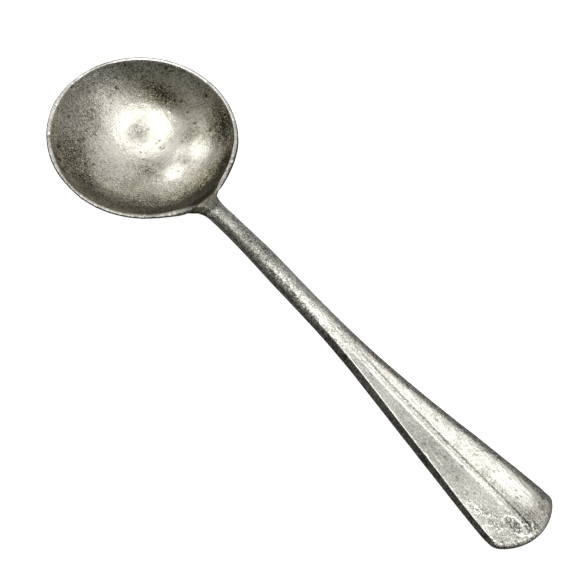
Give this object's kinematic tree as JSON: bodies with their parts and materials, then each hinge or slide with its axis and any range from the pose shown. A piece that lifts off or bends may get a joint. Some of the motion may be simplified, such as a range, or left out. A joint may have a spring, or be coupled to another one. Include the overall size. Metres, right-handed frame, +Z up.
{
  "type": "serving spoon",
  "caption": "Round-bowled serving spoon in aged grey metal: shallow raised bowl, slim round stem and a flat, fluted handle end with a raised midrib.",
  "frame": {"origin": "centre of the worn flat under the bowl, on the table that the spoon lies on", "axes": "+X from the bowl along the handle to its tip, +Z up from the table, +Y completes the right-handed frame and is across the spoon; the XZ plane is its plane of symmetry"},
  "size_m": [0.1983, 0.06, 0.0184],
  "materials": {
    "bowl_metal": "aged pewter, satin inside with brown-olive tarnish, duller outside",
    "handle_metal": "aged cast pewter, bright worn top, dark tarnished sides, small pits and scratches",
    "solder": "dull greenish-grey old solder with pinholes"
  },
  "bodies": {
    "root": {"bowl": "bowl_metal", "handle": "handle_metal", "solder_seam": "solder"}
  },
  "joints": []
}
